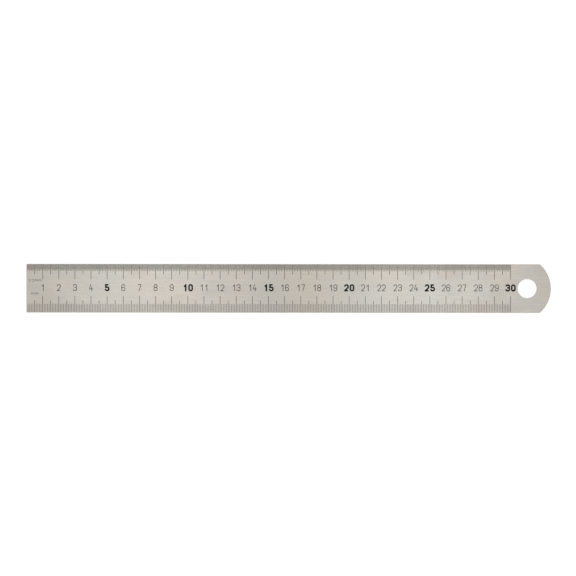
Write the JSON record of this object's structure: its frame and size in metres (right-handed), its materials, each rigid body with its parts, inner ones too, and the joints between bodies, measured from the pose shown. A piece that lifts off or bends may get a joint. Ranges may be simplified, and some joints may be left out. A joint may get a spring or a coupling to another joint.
{
  "type": "steel ruler",
  "caption": "Flat stainless steel ruler with black half-millimetre and millimetre scales, a square zero end and a rounded end with a hanging hole.",
  "frame": {"origin": "on the ground zero end, at mid-width, on the underside", "axes": "+X along the scale, so a point's x is its reading; +Y across the width towards the half-millimetre edge; +Z out of the marked face"},
  "size_m": [0.325, 0.03, 0.001],
  "materials": {
    "steel": "satin",
    "black_mark": "matte"
  },
  "bodies": {
    "root": {"blade": "steel", "upper_half_mm_lines": "black_mark", "upper_mm_lines": "black_mark", "upper_five_mm_lines": "black_mark", "upper_cm_lines": "black_mark", "lower_mm_lines": "black_mark", "lower_five_mm_lines": "black_mark", "lower_cm_lines": "black_mark", "light_numerals": "black_mark", "bold_numerals": "black_mark", "upper_unit_label": "black_mark", "lower_unit_label": "black_mark"}
  },
  "joints": []
}
